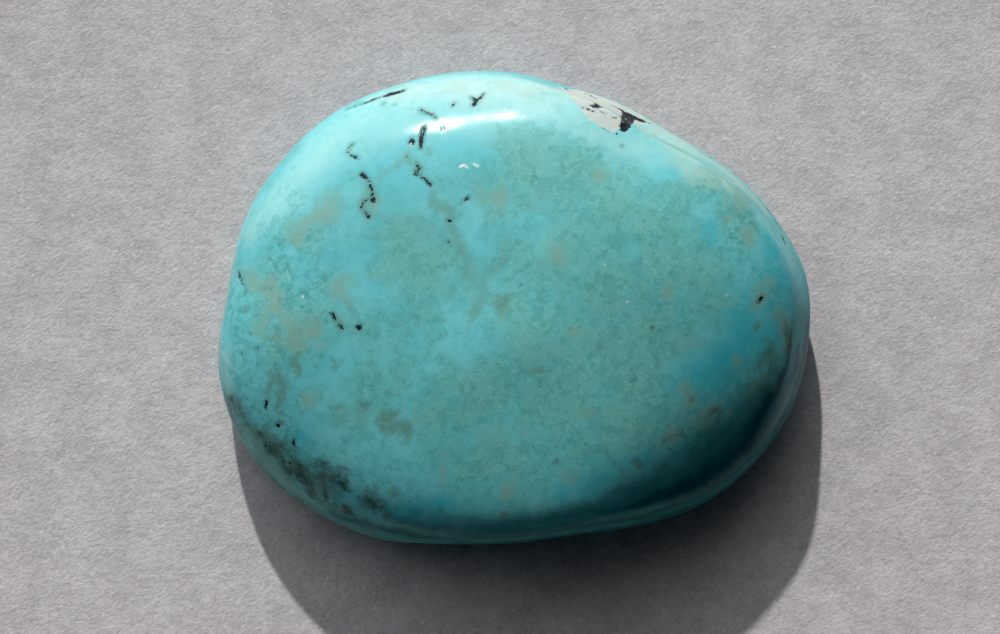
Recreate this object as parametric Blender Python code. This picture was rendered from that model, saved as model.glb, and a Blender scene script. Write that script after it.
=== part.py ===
"""Turquoise nugget: one tumbled pebble of turquoise with a ground flat base.

Metres, +Z up.  The stone's long side runs along X and its thickness along Z.
The flat base lies on Z = 0, with the middle of the stone's outline over the origin.
"""
import math

import bmesh
import bpy
import numpy as np

MM = 0.001

# --- driving dimensions, millimetres and degrees -------------------------------
# The pebble is described from its heart, a point on the level of its widest outline.
WAIST_Z = 3.0            # level of the widest outline above the base
CROWN_Z = 15.4           # level of the crown straight above the heart
CROWN_TILT_X = 0.035     # the crown climbs this much per mm toward +X
CROWN_TILT_Y = 0.145     # and this much per mm toward +Y

# widest outline: heart to rim, every 15 degrees counter-clockwise from +X
WAIST_RADII = (25.8, 24.0, 21.9, 20.1, 19.4, 19.1, 19.8, 20.6, 21.4, 22.5, 23.6, 24.7,
               25.3, 26.8, 27.0, 25.8, 23.9, 21.9, 21.0, 21.1, 22.6, 24.4, 25.5, 25.9)

# crown profile every 45 degrees: 2 is a plain ellipse, more is a fuller, squarer shoulder
CROWN_POWERS = (2.6, 1.8, 2.0, 2.5, 3.3, 3.6, 6.2, 2.9)
# how far the crown's own rim would stand outside the waist, every 45 degrees
CROWN_OVERHANGS = (-0.7, 5.1, -0.6, -1.1, -1.6, -0.9, 1.3, 1.9)

# worn flat faces of the crown: (azimuth, rise of the outward normal, distance from the heart)
WORN_FACES = ((310.0, 47.5, 19.7),)
FACE_POWER = 23.0        # how softly a worn face runs into the crown

# shallow hollows and swells: (azimuth, rise, half width in degrees, height in mm)
SWELLS = (
    (46.0, 25.0, 15.0, -1.20),
    (118.0, 52.0, 34.0, -1.20),
    (172.0, 38.0, 17.0, -0.25),
    (236.0, 44.0, 20.0, 0.45),
    (282.0, 62.0, 18.0, 0.50),
    (12.0, 58.0, 20.0, -0.20),
    (82.0, 38.0, 16.0, 0.30),
    (116.0, 47.0, 13.0, 0.20),
)

# the girdle band above the waist leans in this much per mm of height, every 45 degrees
GIRDLE_LEANS = (0.40, 0.29, 0.32, 0.20, 0.29, 0.30, 0.00, 0.23)
UNDERCUT_LEAN = 0.8      # below the waist the side leans in this much per mm of depth
CREASE_POWER = 150.0     # how crisp the line between crown and girdle is
EDGE_POWER = 30.0        # how crisp the edges of undercut and base are

# --- mesh layout ---------------------------------------------------------------
RINGS = 30               # rings of points from the crown to the base
SHOULDER_RING = 0.62     # share of the rings spent above the shoulder angle
SHOULDER_ANGLE = 74.0    # degrees from straight up, seen from the heart
BASE_SHARE = 0.965       # the last ring lies this far out on the flat base


def around(values, azimuth):
    """A smooth closed curve through evenly spaced values, read at azimuths in radians."""
    table = np.asarray(values, dtype=float)
    count = len(table)
    place = np.mod(azimuth, 2.0 * math.pi) / (2.0 * math.pi) * count
    index = np.floor(place).astype(int)
    t = place - index
    before = table[(index - 1) % count]
    start = table[index % count]
    end = table[(index + 1) % count]
    after = table[(index + 2) % count]
    value = start * (1.0 - 3.0 * t**2 + 2.0 * t**3) + end * (3.0 * t**2 - 2.0 * t**3)
    value = value + 0.5 * (end - before) * (t - 2.0 * t**2 + t**3)
    value = value + 0.5 * (after - start) * (t**3 - t**2)
    return value


def toward(azimuth_deg, rise_deg, dx, dy, dz):
    """Cosine between unit directions and the one at this azimuth and rise."""
    azimuth = math.radians(azimuth_deg)
    rise = math.radians(rise_deg)
    level = math.cos(azimuth) * dx + math.sin(azimuth) * dy
    return math.cos(rise) * level + math.sin(rise) * dz


def swelling(dx, dy, dz):
    """Height in mm of the hollows and swells along unit directions."""
    height = np.zeros_like(dx)
    for azimuth, rise, half_width, swell in SWELLS:
        spread = 1.0 - math.cos(math.radians(half_width))
        height = height + swell * np.exp((toward(azimuth, rise, dx, dy, dz) - 1.0) / spread)
    return height


def crown_share(dx, dy, dz, waist):
    """Inverse distance from the heart to the crown and its worn faces."""
    azimuth = np.arctan2(dy, dx)
    power = around(CROWN_POWERS, azimuth)
    rim = waist + around(CROWN_OVERHANGS, azimuth)
    climb = np.maximum(dz - CROWN_TILT_X * dx - CROWN_TILT_Y * dy, 0.0)
    dome = (np.hypot(dx, dy) / rim) ** power + (climb / (CROWN_Z - WAIST_Z)) ** power
    share = dome ** (FACE_POWER / power)
    for azimuth_deg, rise_deg, distance in WORN_FACES:
        along = np.maximum(toward(azimuth_deg, rise_deg, dx, dy, dz), 0.0)
        share = share + (along / distance) ** FACE_POWER
    return share ** (1.0 / FACE_POWER)


def reach(dx, dy, dz):
    """Distance in mm from the heart to the stone's skin along unit directions."""
    out = np.hypot(dx, dy)
    azimuth = np.arctan2(dy, dx)
    waist = around(WAIST_RADII, azimuth) * 2.0 ** (1.0 / EDGE_POWER)
    crown = crown_share(dx, dy, dz, waist)
    girdle = np.maximum(out + around(GIRDLE_LEANS, azimuth) * dz, 0.0) / waist
    undercut = np.maximum(out - UNDERCUT_LEAN * dz, 0.0) / waist
    base = np.maximum(-dz, 0.0) / WAIST_Z
    upper = (crown**CREASE_POWER + girdle**CREASE_POWER) ** (EDGE_POWER / CREASE_POWER)
    total = upper + undercut**EDGE_POWER + base**EDGE_POWER
    return total ** (-1.0 / EDGE_POWER) + swelling(dx, dy, dz)


def disk_place(u, v):
    """Bend a square grid from -1 to 1 into a disk: ring (0 to 1) and azimuth of each point."""
    ring = np.maximum(np.abs(u), np.abs(v))
    safe = np.maximum(ring, 1e-9)
    sideways = np.abs(u) >= np.abs(v)
    quarter = np.where(sideways, v, -u) / safe
    turn = np.where(sideways, 0.0, 0.5 * math.pi)
    flipped = np.where(sideways, u < 0.0, v < 0.0)
    azimuth = turn + np.where(flipped, math.pi - quarter * math.pi / 4.0, quarter * math.pi / 4.0)
    return ring, azimuth


def skin_points(u, v):
    """Points in mm on the stone's skin: the grid's middle on the crown, its rim on the base."""
    ring, azimuth = disk_place(u, v)
    base_out = (around(WAIST_RADII, azimuth) - UNDERCUT_LEAN * WAIST_Z) * BASE_SHARE
    base_angle = 90.0 + np.degrees(np.arctan2(WAIST_Z, base_out))
    upper = ring / SHOULDER_RING * SHOULDER_ANGLE
    lower_share = (ring - SHOULDER_RING) / (1.0 - SHOULDER_RING)
    lower = SHOULDER_ANGLE + lower_share * (base_angle - SHOULDER_ANGLE)
    polar = np.radians(np.where(ring < SHOULDER_RING, upper, lower))
    dx = np.sin(polar) * np.cos(azimuth)
    dy = np.sin(polar) * np.sin(azimuth)
    dz = np.cos(polar)
    length = reach(dx, dy, dz)
    points = np.stack((length * dx, length * dy, WAIST_Z + length * dz), axis=-1)
    points[ring > 1.0 - 1e-6, 2] = 0.0
    middle = 0.5 * (points.min(axis=0) + points.max(axis=0))
    return points - np.array((middle[0], middle[1], 0.0))


def cut_corner_cells(bm):
    """Cut the cells on the grid's diagonals from the crown outward, before it is bent."""
    for face in list(bm.faces):
        middle = face.calc_center_median()
        if abs(abs(middle.x) - abs(middle.y)) > 1e-5:
            continue
        corners = sorted(face.verts, key=lambda vert: vert.co.length)
        bmesh.utils.face_split(face, corners[0], corners[-1])


def close_base(bm):
    """Close the open rim with one flat face."""
    rim = [edge for edge in bm.edges if edge.is_boundary]
    made = bmesh.ops.contextual_create(bm, geom=rim)
    base = made["faces"][0]
    base.normal_update()
    if base.normal.z > 0.0:
        base.normal_flip()
    return base


def stone_mesh(name, rings):
    bm = bmesh.new()
    bmesh.ops.create_grid(bm, x_segments=2 * rings, y_segments=2 * rings, size=1.0)
    cut_corner_cells(bm)
    flat = np.array([vert.co for vert in bm.verts])
    points = skin_points(flat[:, 0], flat[:, 1]) * MM
    for vert, point in zip(bm.verts, points):
        vert.co = point
    for face in bm.faces:
        face.smooth = True
    close_base(bm)
    mesh = bpy.data.meshes.new(name)
    bm.to_mesh(mesh)
    bm.free()
    return mesh


def turquoise():
    material = bpy.data.materials.new("turquoise")
    material.use_nodes = True
    shader = material.node_tree.nodes["Principled BSDF"]
    shader.inputs["Base Color"].default_value = (0.16, 0.45, 0.44, 1.0)
    shader.inputs["Roughness"].default_value = 0.28
    shader.inputs["Metallic"].default_value = 0.0
    return material


def clear_scene():
    for item in list(bpy.data.objects):
        bpy.data.objects.remove(item, do_unlink=True)


def build():
    clear_scene()
    mesh = stone_mesh("turquoise_nugget", RINGS)
    mesh.materials.append(turquoise())
    mesh.set_sharp_from_angle(angle=math.radians(40.0))
    stone = bpy.data.objects.new("turquoise_nugget", mesh)
    bpy.context.scene.collection.objects.link(stone)


build()
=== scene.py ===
"""Looks of the turquoise nugget: the polished stone on a pale floor, seen from above.

Lengths of the stone are in millimetres in the helpers and in metres in the scene.
"""
import math

import bpy
import numpy as np
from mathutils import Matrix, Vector, noise
from mathutils.bvhtree import BVHTree


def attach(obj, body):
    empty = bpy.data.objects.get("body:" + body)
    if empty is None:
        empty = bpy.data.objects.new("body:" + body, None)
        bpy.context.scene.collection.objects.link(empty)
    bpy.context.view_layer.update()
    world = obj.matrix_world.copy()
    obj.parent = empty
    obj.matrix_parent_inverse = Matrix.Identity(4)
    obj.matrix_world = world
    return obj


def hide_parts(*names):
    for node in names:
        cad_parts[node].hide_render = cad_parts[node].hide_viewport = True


MM = 0.001
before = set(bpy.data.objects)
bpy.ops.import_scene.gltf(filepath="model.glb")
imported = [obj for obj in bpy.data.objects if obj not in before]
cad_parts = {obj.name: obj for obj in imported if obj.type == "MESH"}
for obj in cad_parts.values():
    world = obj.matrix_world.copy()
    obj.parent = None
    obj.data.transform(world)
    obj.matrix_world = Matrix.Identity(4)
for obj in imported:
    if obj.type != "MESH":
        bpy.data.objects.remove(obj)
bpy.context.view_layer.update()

# --- the stone's driving dimensions, as in its CAD source, millimetres and degrees ---
# Most of them were worked out by a least-squares fit to the picture and then rounded.
WAIST_Z = 3.0
CROWN_Z = 15.4
CROWN_TILT_X = 0.035
CROWN_TILT_Y = 0.145
WAIST_RADII = (25.8, 24.0, 21.9, 20.1, 19.4, 19.1, 19.8, 20.6, 21.4, 22.5, 23.6, 24.7,
               25.3, 26.8, 27.0, 25.8, 23.9, 21.9, 21.0, 21.1, 22.6, 24.4, 25.5, 25.9)
CROWN_POWERS = (2.6, 1.8, 2.0, 2.5, 3.3, 3.6, 6.2, 2.9)
CROWN_OVERHANGS = (-0.7, 5.1, -0.6, -1.1, -1.6, -0.9, 1.3, 1.9)
WORN_FACES = ((310.0, 47.5, 19.7),)
FACE_POWER = 23.0
SWELLS = (
    (46.0, 25.0, 15.0, -1.20),
    (118.0, 52.0, 34.0, -1.20),
    (172.0, 38.0, 17.0, -0.25),
    (236.0, 44.0, 20.0, 0.45),
    (282.0, 62.0, 18.0, 0.50),
    (12.0, 58.0, 20.0, -0.20),
    (82.0, 38.0, 16.0, 0.30),
    (116.0, 47.0, 13.0, 0.20),
)
GIRDLE_LEANS = (0.40, 0.29, 0.32, 0.20, 0.29, 0.30, 0.00, 0.23)
UNDERCUT_LEAN = 0.8
CREASE_POWER = 150.0
EDGE_POWER = 30.0
SHOULDER_RING = 0.66
SHOULDER_ANGLE = 74.0
BASE_SHARE = 0.965

# --- fine mesh and low relief, millimetres -----------------------------------------
FINE_RINGS = 156
WAVE_LENGTH = 5.5
WAVE_HEIGHT = 0.02
RIPPLE_LENGTH = 1.6
RIPPLE_HEIGHT = 0.006
PIT_DEPTH = 0.06
HOST_DEPTH = 0.05
HOST_GRIT_LENGTH = 0.45
HOST_GRIT = 0.035
RELIEF_FROM_Z = 0.05    # the flat base below this level stays smooth

# --- markings ---------------------------------------------------------------------
# In the picture's frame, 1000 x 634 pixels.  A marking is a chain of discs (column, row,
# radius), joined from one to the next.  They were read one by one, except that the painted shade
# patches along the lower and right rim start from edge positions measured in the picture.
SPECKS_AND_RIM_SHADE_LINES = (
    ((347, 109, 1.0), (365, 103, 1.3), (380, 97, 2.0)),
    ((384, 96, 2.4), (392, 93.5, 3.6), (403, 90.5, 2.2)), ((388, 97, 0.9),), ((383, 104, 1.4),),
    ((394, 105, 0.7),), ((352, 144, 0.6), (347, 152, 1.6), (350, 155, 1.0), (357, 158, 1.4)),
    ((363, 175, 3.2), (369, 179, 1.0), (371, 187, 1.8), (372, 194, 1.4), (372, 200, 3.2)),
    ((364, 201, 1.3), (361, 207, 0.9), (364, 212, 0.7), (368, 218, 1.8)),
    ((420, 109, 0.8), (426, 113, 1.4), (432, 114.5, 1.6), (436, 117, 1.0)),
    ((424, 128, 2.2), (422, 136, 1.6), (421, 143, 2.0), (421, 149, 1.2)), ((412, 142, 3.4),),
    ((443, 128.5, 1.5),), ((441, 124, 0.8),), ((452, 106, 1.0), (454, 103, 0.7)), ((420, 167, 1.5),),
    ((410, 164, 0.9),), ((413, 158, 0.6),), ((415, 173, 1.7), (424, 179, 1.1), (430, 184, 2.2)),
    ((416, 162, 0.8), (419, 169, 1.1)), ((407, 157, 1.0),),
    ((471, 97, 1.4), (476, 101, 2.3), (473, 105, 1.9)),
    ((475, 100, 1.9), (480, 98.5, 1.3), (484, 94, 0.7)), ((469, 198, 1.6), (462, 202, 0.5)),
    ((449, 220.5, 1.5),), ((448.5, 241, 1.2),), ((622, 146, 0.9),), ((522, 114, 0.6),),
    ((741, 221, 0.9),), ((752, 223, 0.7),), ((783, 237, 2.4), (785, 243, 1.6)),
    ((762, 298, 1.8), (758, 303, 2.1)), ((750, 370, 1.4),), ((774, 389, 1.2),), ((774, 362, 0.9),),
    ((522, 285, 0.7),), ((239, 274, 2.2), (241, 280, 1.3), (245, 286, 0.6), (246, 291, 0.4)),
    ((263, 289, 0.9),), ((271, 290, 0.8),), ((281, 300, 0.9),), ((250, 334, 0.7),), ((258, 348, 1.5),),
    ((242, 354, 1.3),), ((332, 314, 1.8), (338, 322, 0.8), (343, 329, 1.6)), ((359, 327, 3.0),),
    ((267, 399, 1.2), (266, 407, 1.6)), ((259, 412, 1.0),), ((278, 426, 2.3),), ((302, 414, 1.1),),
    ((293, 440, 1.4), (293, 448, 1.1)), ((338, 408, 0.8),), ((290, 463, 1.4),), ((309, 476, 1.2),),
    # The chains from (766, 207) to (781, 231) and from (701, 153) to (722, 165) are painted shade: thin
    # dark lines along the upper-right rim, not specks.
    ((265, 446, 2.2),), ((345, 489, 1.1),), ((766, 207, 0.8), (781, 231, 0.9)),
    ((701, 153, 0.4), (722, 165, 0.5)),
)
HOST_ROCK = (
    ((561, 87, 4.0), (572, 93, 8.5), (586, 100, 13.0), (600, 109, 17.0), (611, 115, 17.0),
     (620, 119, 12.0)), ((622, 115, 12.0), (637, 119, 7.0), (648, 122, 3.0)),
    ((571, 87, 6.0), (586, 92, 12.0), (604, 99, 16.0)),
    ((604, 99, 16.0), (618, 105, 16.0), (634, 112, 10.0)),
    ((586, 90, 14.0), (602, 95, 28.0), (617, 102, 22.0)),
)
HOST_INCLUSIONS = (
    ((565, 88, 1.1), (569, 90, 1.5), (572, 91.5, 1.0)),
    ((583, 92, 1.3), (590, 94.5, 2.4), (597, 98, 1.3)),
    ((591, 105, 1.7), (597, 106, 3.0), (604, 107, 1.7)), ((596, 102, 1.6), (597, 105, 2.2)),
    ((611, 104, 1.6), (621, 109, 3.8), (629, 114, 7.0), (637, 118, 4.8), (649, 122.5, 1.8)),
    ((629, 114, 7.0), (628, 119, 7.0), (626, 123, 6.0), (624, 128, 4.4)),
    ((579, 106, 0.7), (587, 109, 0.8), (593, 111, 0.7)),
    ((601, 111, 0.8), (608, 114, 0.9), (615, 118, 1.3)),
    ((601, 127, 0.6), (609, 131, 0.7), (617, 133, 0.8)),
)
TAN_PATCHES = (
    ((329, 207, 12.0), (318, 214, 9.0), (303, 228, 5.0)), ((341, 285, 9.0), (343, 294, 7.0)),
    ((298, 240, 7.0), (290, 222, 4.0)), ((296, 338, 9.0), (311, 330, 8.0)), ((320, 345, 5.0),),
    ((296, 338, 8.0), (284, 318, 6.0), (279, 299, 7.0), (264, 287, 9.0)),
    ((268, 308, 5.0), (262, 320, 4.0)), ((266, 289, 11.0), (250, 272, 8.0)), ((257, 334, 6.5),),
    ((277, 336, 4.5),), ((300, 350, 4.0),), ((601, 173, 8.0),), ((500, 196, 8.0),), ((403, 158, 4.5),),
    ((372, 203, 6.0),), ((701, 167, 3.0), (716, 176, 3.5), (730, 183, 4.0), (735, 189, 4.0)),
    ((659, 139, 6.0), (670, 145, 8.0), (688, 155, 8.0)),
    ((740, 192, 8.0), (743, 200, 8.0), (739, 206, 6.0)), ((728, 219, 4.0),),
    ((745, 228, 5.0), (750, 240, 6.0)), ((771, 283, 6.0), (763, 291, 6.5), (756, 304, 5.5)),
    ((795, 262, 5.0),), ((782, 262, 4.0),), ((781, 315, 6.0), (785, 327, 8.0), (787, 341, 7.0)),
    ((737, 361, 5.0),), ((763, 388, 9.0),), ((755, 404, 6.0),), ((687, 394, 4.0), (688, 403, 4.0)),
    ((715, 408, 6.0), (701, 420, 6.0)), ((674, 434, 7.0),), ((506, 488, 5.0),),
    ((443, 461, 4.0), (441, 475, 3.5)), ((508, 512, 5.0),), ((310, 399, 5.0), (309, 408, 2.5)),
    ((569, 482, 4.0),), ((588, 414, 4.5),), ((670, 290, 6.0),), ((576, 331, 5.0),), ((556, 252, 7.0),),
    ((247, 433, 5.0), (260, 453, 7.0), (276, 471, 7.0)),
    ((276, 471, 7.0), (298, 496, 7.0), (318, 511, 7.0), (341, 523, 6.0), (372, 533, 5.0)),
)
OLIVE_PATCHES = (
    ((268, 376, 6.0), (276, 386, 12.0), (280, 397, 8.0), (281, 410, 4.0)), ((282, 420, 4.5),),
    ((363, 406, 8.0),), ((382, 421, 9.0), (403, 430, 11.0), (405, 439, 7.0)), ((262, 362, 5.0),),
    ((281, 462, 9.0), (302, 470, 12.0), (322, 480, 11.0)), ((335, 476, 9.0),), ((374, 501, 10.0),),
    ((269, 441, 8.0), (262, 428, 6.0)), ((243, 311, 5.0),), ((539, 365, 6.0),), ((559, 466, 4.0),),
    ((755, 366, 7.0), (767, 357, 8.0), (777, 376, 7.0)), ((637, 464, 5.5),),
    ((296, 354, 4.0), (292, 366, 6.0), (297, 373, 5.0)), ((334, 360, 5.0), (332, 369, 3.0)),
    ((349, 511, 7.0),), ((310, 492, 8.0), (330, 503, 8.0)), ((603, 345, 5.0),),
    ((248, 425, 5.0), (258, 450, 5.0)), ((395, 495, 5.0),), ((724, 410, 5.0), (705, 430, 6.0)),
    ((501, 302, 9.0),), ((788, 330, 5.0), (786, 355, 6.0), (778, 372, 5.0)), ((758, 330, 5.0),),
    ((770, 345, 5.0),), ((255, 430, 12.0), (280, 458, 14.0), (305, 480, 14.0), (335, 492, 10.0)),
    ((300, 502, 9.0), (270, 476, 8.0)),
    ((246, 446, 9.0), (258, 462, 14.0), (285, 494, 14.0), (320, 516, 10.0)), ((236, 428, 10.0),),
)
BROWN_PATCHES = (
    ((242, 414, 11.0), (232, 402, 10.0)), ((229, 404, 13.0), (235, 420, 13.0)),
    ((320, 462, 7.0), (340, 478, 10.0), (345, 486, 7.0)), ((300, 468, 13.0), (290, 474, 11.0)),
    ((275, 449, 8.0), (266, 443, 6.0)), ((371, 495, 8.0), (379, 502, 9.0), (373, 508, 8.0)),
    ((324, 478, 10.0),), ((311, 493, 8.0),), ((683, 437, 4.5),), ((727, 222, 2.5),), ((505, 514, 3.0),),
    ((257, 434, 6.0),), ((282, 421, 3.5),), ((349, 511, 8.0),), ((385, 515, 6.0),), ((768, 352, 4.0),),
    ((395, 522, 6.0),), ((770, 372, 4.0),), ((715, 409, 3.5), (707, 417, 3.0)),
    ((667, 437, 3.5), (659, 446, 2.5)), ((688, 398, 3.0),), ((620, 463, 3.5),), ((560, 465, 3.0),),
    ((588, 413, 2.5),), ((647, 328, 2.5),), ((573, 330, 2.5),), ((687, 334, 3.0), (690, 342, 2.0)),
    ((637, 377, 3.0),), ((693, 453, 3.0),), ((508, 510, 4.0),), ((784, 320, 3.5), (786, 336, 4.0)),
    ((757, 362, 3.5),), ((767, 388, 5.0),), ((480, 505, 3.0),), ((445, 512, 3.0),),
)
MOSS_PATCHES = (
    ((292, 474, 9.0), (303, 479, 9.0)), ((265, 446, 6.0), (275, 450, 6.0)),
    ((340, 480, 7.0), (346, 487, 6.0)), ((311, 493, 6.0),), ((258, 434, 5.0),), ((322, 463, 5.0),),
    ((232, 402, 5.0),), ((350, 512, 6.0),), ((376, 504, 7.0),), ((325, 492, 5.0),), ((335, 503, 5.0),),
    ((283, 459, 5.0),), ((300, 466, 5.0),),
)
VEINS = (
    ((430, 175, 3.0), (431, 190, 4.0), (434, 203, 4.5), (441, 206, 4.0), (449, 209, 4.5),
     (451, 225, 4.5)),
    ((451, 225, 4.5), (456, 235, 6.0), (460, 247, 5.5), (464, 260, 3.5), (469, 273, 3.5),
     (478, 279, 4.0)),
    ((509, 254, 3.5), (498, 266, 5.0), (485, 273, 6.5), (483, 289, 6.0), (478, 305, 4.5),
     (472, 320, 3.0)),
    ((380, 173, 2.5), (391, 167, 2.5), (403, 160, 4.0), (413, 161, 5.0), (421, 170, 4.0)),
    ((350, 147, 4.0),), ((364, 178, 4.0), (370, 190, 5.0), (368, 203, 7.0), (366, 216, 4.0)),
    ((345, 300, 2.5), (351, 308, 2.5), (356, 317, 2.5)), ((449, 225, 4.0),), ((449, 240, 4.0),),
    ((261, 377, 0.8), (268, 369, 1.0)), ((430, 150, 3.0), (424, 160, 3.0)),
    ((327, 309, 2.0), (318, 320, 2.5), (305, 322, 2.0)), ((359, 327, 5.0),),
    ((335, 318, 3.5), (343, 329, 3.5)), ((500, 210, 3.0), (507, 232, 3.0), (509, 254, 3.0)),
    ((760, 300, 6.0),), ((420, 112, 3.0), (432, 116, 3.0)),
    ((311, 172, 0.6), (315, 182, 0.9), (309, 190, 0.6)),
    ((374, 170, 0.6), (388, 168, 0.9), (400, 165, 0.7)),
    ((289, 200, 0.6), (293, 208, 0.9), (297, 205, 0.5)),
    ((484, 104, 0.5), (478, 111, 0.9), (468, 119, 0.6)),
    ((398, 157, 0.8), (408, 163, 1.4), (416, 172, 1.2), (426, 181, 0.9)),
    ((440, 243, 0.6), (452, 254, 0.9)), ((507, 112, 0.6), (503, 128, 0.9), (508, 145, 0.7)),
    ((354, 142, 0.9), (348, 150, 1.2)),
)
CREAM_PATCHES = (
    ((655, 134, 7.0), (668, 144, 8.0)),
    ((699, 161, 7.0), (716, 172, 8.0), (734, 184, 8.0), (752, 192, 7.0)),
    ((642, 117, 14.0), (660, 128, 22.0), (690, 148, 26.0), (720, 168, 22.0), (750, 186, 18.0),
     (768, 206, 10.0)),
    ((640, 127, 8.0), (654, 136, 12.0), (678, 151, 14.0), (706, 171, 12.0), (730, 187, 9.0)),
    ((222, 300, 8.0), (219, 350, 8.0)), ((461, 86, 7.0), (450, 83, 6.0)),
    ((510, 86, 8.0), (540, 88, 5.0)), ((394, 97, 7.0),), ((485, 98, 6.0),), ((560, 92, 6.0),),
)
BUSY_AREAS = (
    ((235, 300, 26.0), (250, 400, 34.0), (300, 470, 40.0), (380, 500, 34.0)),
    ((290, 230, 30.0), (280, 330, 36.0)), ((760, 380, 26.0), (720, 430, 30.0)),
    ((740, 210, 20.0), (770, 300, 20.0)),
)
NET_AREAS = (
    ((535, 165, 30.0), (600, 205, 44.0), (665, 255, 48.0), (640, 340, 62.0), (560, 400, 60.0),
     (470, 400, 36.0)), ((640, 340, 62.0), (665, 410, 34.0), (610, 450, 26.0)),
    ((405, 255, 24.0), (445, 275, 20.0)), ((520, 260, 34.0), (520, 330, 36.0)),
    ((440, 460, 20.0), (520, 470, 22.0)), ((300, 330, 24.0), (275, 290, 20.0)),
    ((735, 190, 18.0), (720, 260, 16.0)), ((380, 380, 24.0), (420, 330, 14.0)), ((310, 240, 16.0),),
)
GREEN_PATCHES = (
    ((527, 156, 16.0), (534, 176, 12.0)), ((551, 139, 9.0),), ((570, 164, 11.0),), ((540, 202, 10.0),),
    ((487, 192, 9.0), (500, 205, 10.0)), ((508, 138, 9.0),), ((622, 195, 14.0),), ((647, 225, 14.0),),
    ((681, 187, 10.0),), ((600, 172, 10.0),), ((409, 236, 14.0), (393, 222, 8.0)),
    ((421, 262, 17.0), (393, 275, 9.0)), ((430, 275, 12.0),), ((398, 167, 2.5), (382, 170, 2.0)),
    ((428, 188, 3.5), (433, 203, 4.5), (443, 205, 4.0), (450, 216, 3.5), (457, 238, 4.5)),
    ((465, 257, 3.5), (474, 276, 5.0), (473, 312, 5.0), (466, 323, 3.0)), ((505, 304, 11.0),),
    ((476, 388, 15.0),), ((420, 166, 6.0), (405, 160, 6.0)), ((300, 240, 12.0), (283, 235, 6.0)),
    ((291, 202, 4.0),), ((611, 286, 13.0),), ((645, 337, 14.0),), ((636, 378, 11.0),),
    ((599, 347, 15.0),), ((684, 345, 9.0),), ((725, 309, 8.0),), ((560, 250, 18.0),),
    ((700, 270, 12.0),), ((560, 400, 16.0),), ((620, 420, 14.0),), ((540, 340, 14.0),),
    ((500, 440, 14.0),), ((430, 420, 10.0),), ((660, 260, 12.0),), ((270, 350, 10.0), (262, 318, 9.0)),
    ((365, 190, 7.0), (366, 212, 6.0)), ((340, 320, 4.0), (356, 318, 3.5)),
    ((315, 321, 2.5), (327, 309, 2.5)), ((751, 250, 8.0),), ((700, 175, 8.0), (745, 205, 10.0)),
    ((560, 96, 10.0), (530, 92, 6.0)), ((380, 110, 6.0),), ((290, 170, 5.0),), ((350, 420, 8.0),),
)
CLEAN_PATCHES = (
    ((425, 200, 8.0), (405, 190, 12.0)), ((350, 240, 18.0),), ((395, 135, 16.0),), ((465, 140, 18.0),),
    ((480, 230, 12.0), (484, 330, 12.0)), ((300, 270, 10.0),), ((335, 360, 16.0),), ((637, 151, 14.0),),
    ((660, 165, 9.0),), ((712, 218, 10.0), (722, 240, 9.0)), ((764, 262, 11.0),), ((360, 290, 10.0),),
    ((330, 165, 22.0),), ((285, 205, 12.0),), ((735, 330, 14.0), (700, 372, 16.0)), ((400, 350, 14.0),),
    ((320, 430, 12.0),), ((420, 470, 16.0),), ((600, 140, 6.0),), ((245, 240, 10.0),),
    ((470, 350, 10.0),), ((360, 460, 14.0),), ((545, 225, 14.0),), ((545, 245, 10.0),),
    ((510, 285, 9.0),), ((500, 420, 12.0),), ((460, 300, 16.0),), ((620, 155, 8.0),),
    ((630, 245, 8.0),), ((440, 520, 12.0),),
)
# Paler stone along the lit upper and left rim, partly painted sheen and reflection.
PALE_STONE_AND_SHEEN_PATCHES = (
    ((250, 232, 9.0), (275, 202, 15.0), (303, 168, 20.0), (340, 132, 26.0), (400, 100, 30.0)),
    ((400, 100, 30.0), (470, 92, 33.0), (545, 98, 33.0), (580, 108, 22.0)),
    ((640, 122, 26.0), (665, 140, 20.0)), ((246, 222, 8.0), (232, 258, 8.0)),
    ((692, 168, 5.0), (700, 172, 4.0)), ((224, 360, 12.0), (230, 396, 7.0)),
    ((565, 116, 18.0), (600, 138, 14.0), (640, 150, 16.0)),
)
# Painted sheen: a whitish sheen over the upper rim beside the highlight.
PAINTED_SHEEN_PATCHES = (
    ((375, 98, 8.0), (420, 88, 17.0), (470, 84, 20.0), (545, 90, 18.0), (575, 96, 8.0)),
    ((640, 118, 12.0), (668, 134, 9.0)),
)
# Painted shade: the darkest colour, on the shaded lower-right wall inside the rim.
PAINTED_DEEP_SHADE_PATCHES = (
    ((787, 366, 2.0), (774, 396, 5.0), (762, 415, 8.0), (744, 447, 10.0), (719, 466, 10.0),
     (692, 484, 10.0)), ((692, 484, 10.0), (664, 495, 6.0), (633, 506, 2.0), (600, 513, 0.3)),
    ((792, 320, 0.5), (790, 345, 1.5), (787, 366, 2.0)),
)
# Painted shade: a darker band along the shaded lower and right rim.
PAINTED_RIM_SHADE_PATCHES = (
    ((808, 330, 6.0), (802, 369, 14.0), (783, 417, 18.0), (759, 458, 18.0), (732, 483, 18.0),
     (702, 502, 18.0)),
    ((702, 502, 18.0), (670, 515, 18.0), (638, 525, 20.0), (577, 534, 17.0), (520, 541, 14.0),
     (460, 543, 12.0)),
    ((797, 350, 6.0), (795, 367, 12.0), (777, 413, 16.0), (753, 453, 18.0), (727, 477, 18.0),
     (698, 496, 18.0)),
    ((698, 496, 18.0), (668, 508, 18.0), (636, 518, 18.0), (576, 527, 16.0), (520, 533, 14.0),
     (460, 535, 13.0)), ((460, 540, 12.0), (400, 533, 13.0), (370, 526, 10.0), (335, 514, 6.0)),
    ((768, 396, 14.0), (738, 432, 20.0), (690, 470, 18.0), (640, 495, 14.0), (590, 512, 10.0),
     (540, 522, 9.0)),
    ((540, 522, 9.0), (500, 529, 10.0), (455, 530, 10.0), (420, 526, 9.0), (392, 519, 5.0)),
)
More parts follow.
